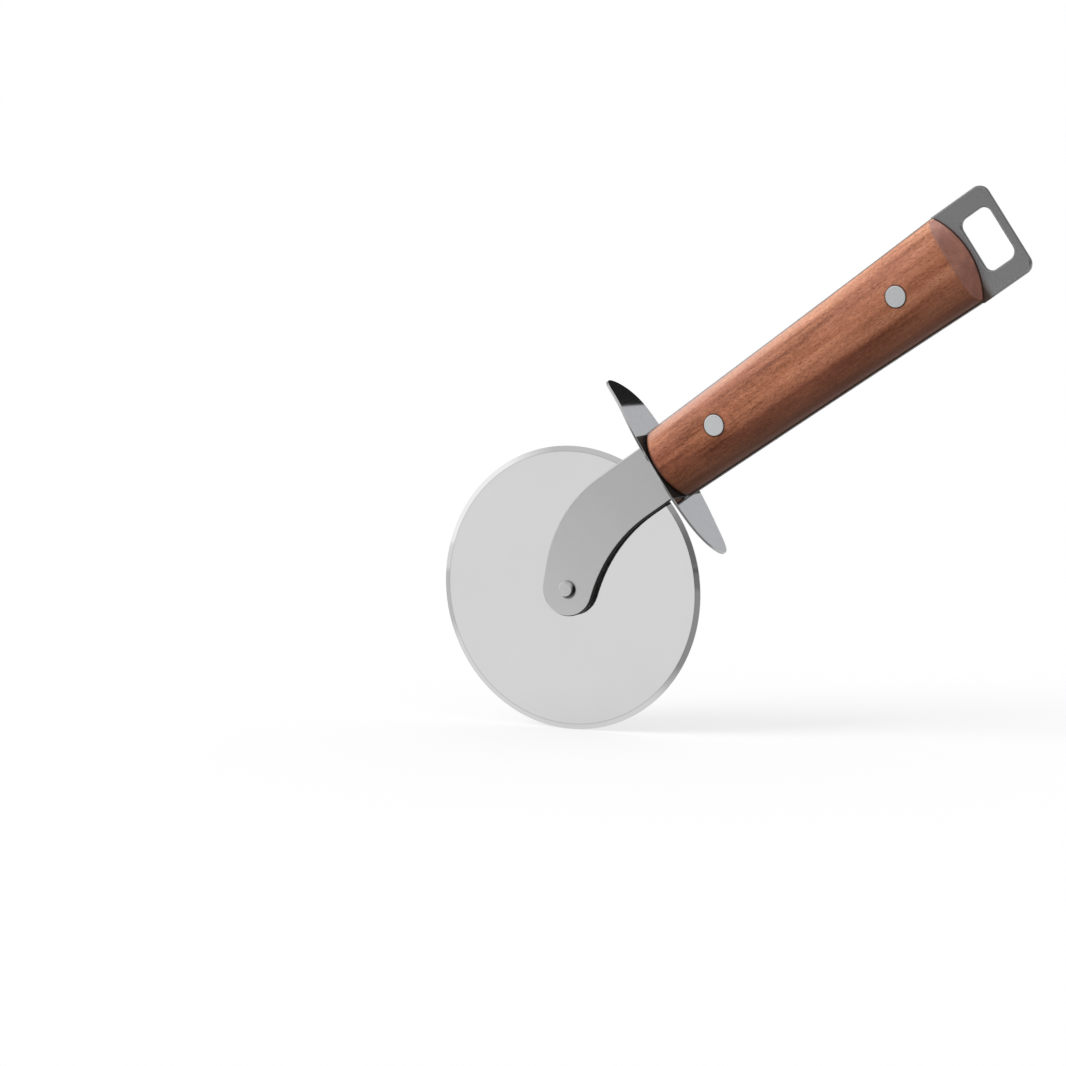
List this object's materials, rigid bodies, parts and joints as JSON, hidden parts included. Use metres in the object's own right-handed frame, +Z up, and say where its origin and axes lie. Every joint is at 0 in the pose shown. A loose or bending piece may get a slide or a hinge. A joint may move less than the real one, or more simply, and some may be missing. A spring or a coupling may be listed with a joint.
{
  "type": "pizza cutter wheel",
  "caption": "Hand-held pizza cutter: a round steel blade spins on a curved flat arm, behind it a finger guard, a riveted wooden handle and a hanging slot in the tang's end.",
  "frame": {"origin": "middle of the tool's footprint on the board, at the level of the cutting wheel's lowest point", "axes": "+Z up, +X along the tool from the wheel towards the raised handle, Y along the wheel's axle with the arm on the -Y side of the wheel"},
  "size_m": [0.1664, 0.0186, 0.1453],
  "materials": {
    "blade_steel": "mirror polished, ground bevel",
    "plate_steel": "satin, fine grain along the plate",
    "guard_steel": "polished",
    "rivet_steel": "polished, almost flat heads",
    "washer_nylon": "matte, dark",
    "handle_wood": "oiled reddish brown hardwood, open pores"
  },
  "bodies": {
    "handle": {"arm_tang_plate": "plate_steel", "finger_guard": "guard_steel", "front_handle_scale": "handle_wood", "back_handle_scale": "handle_wood", "forward_rivet_barrel": "rivet_steel", "forward_rivet_pin": "rivet_steel", "rear_rivet_barrel": "rivet_steel", "rear_rivet_pin": "rivet_steel", "axle_rivet": "rivet_steel", "arm_washer": "washer_nylon", "tail_washer": "rivet_steel"},
    "wheel": {"blade_wheel": "blade_steel"}
  },
  "joints": [
    {"name": "wheel_spin", "type": "hinge", "parent": "handle", "child": "wheel", "pos_m": [-0.04571, 0.0018, 0.0375], "axis": [0, 1, 0], "continuous": true}
  ]
}
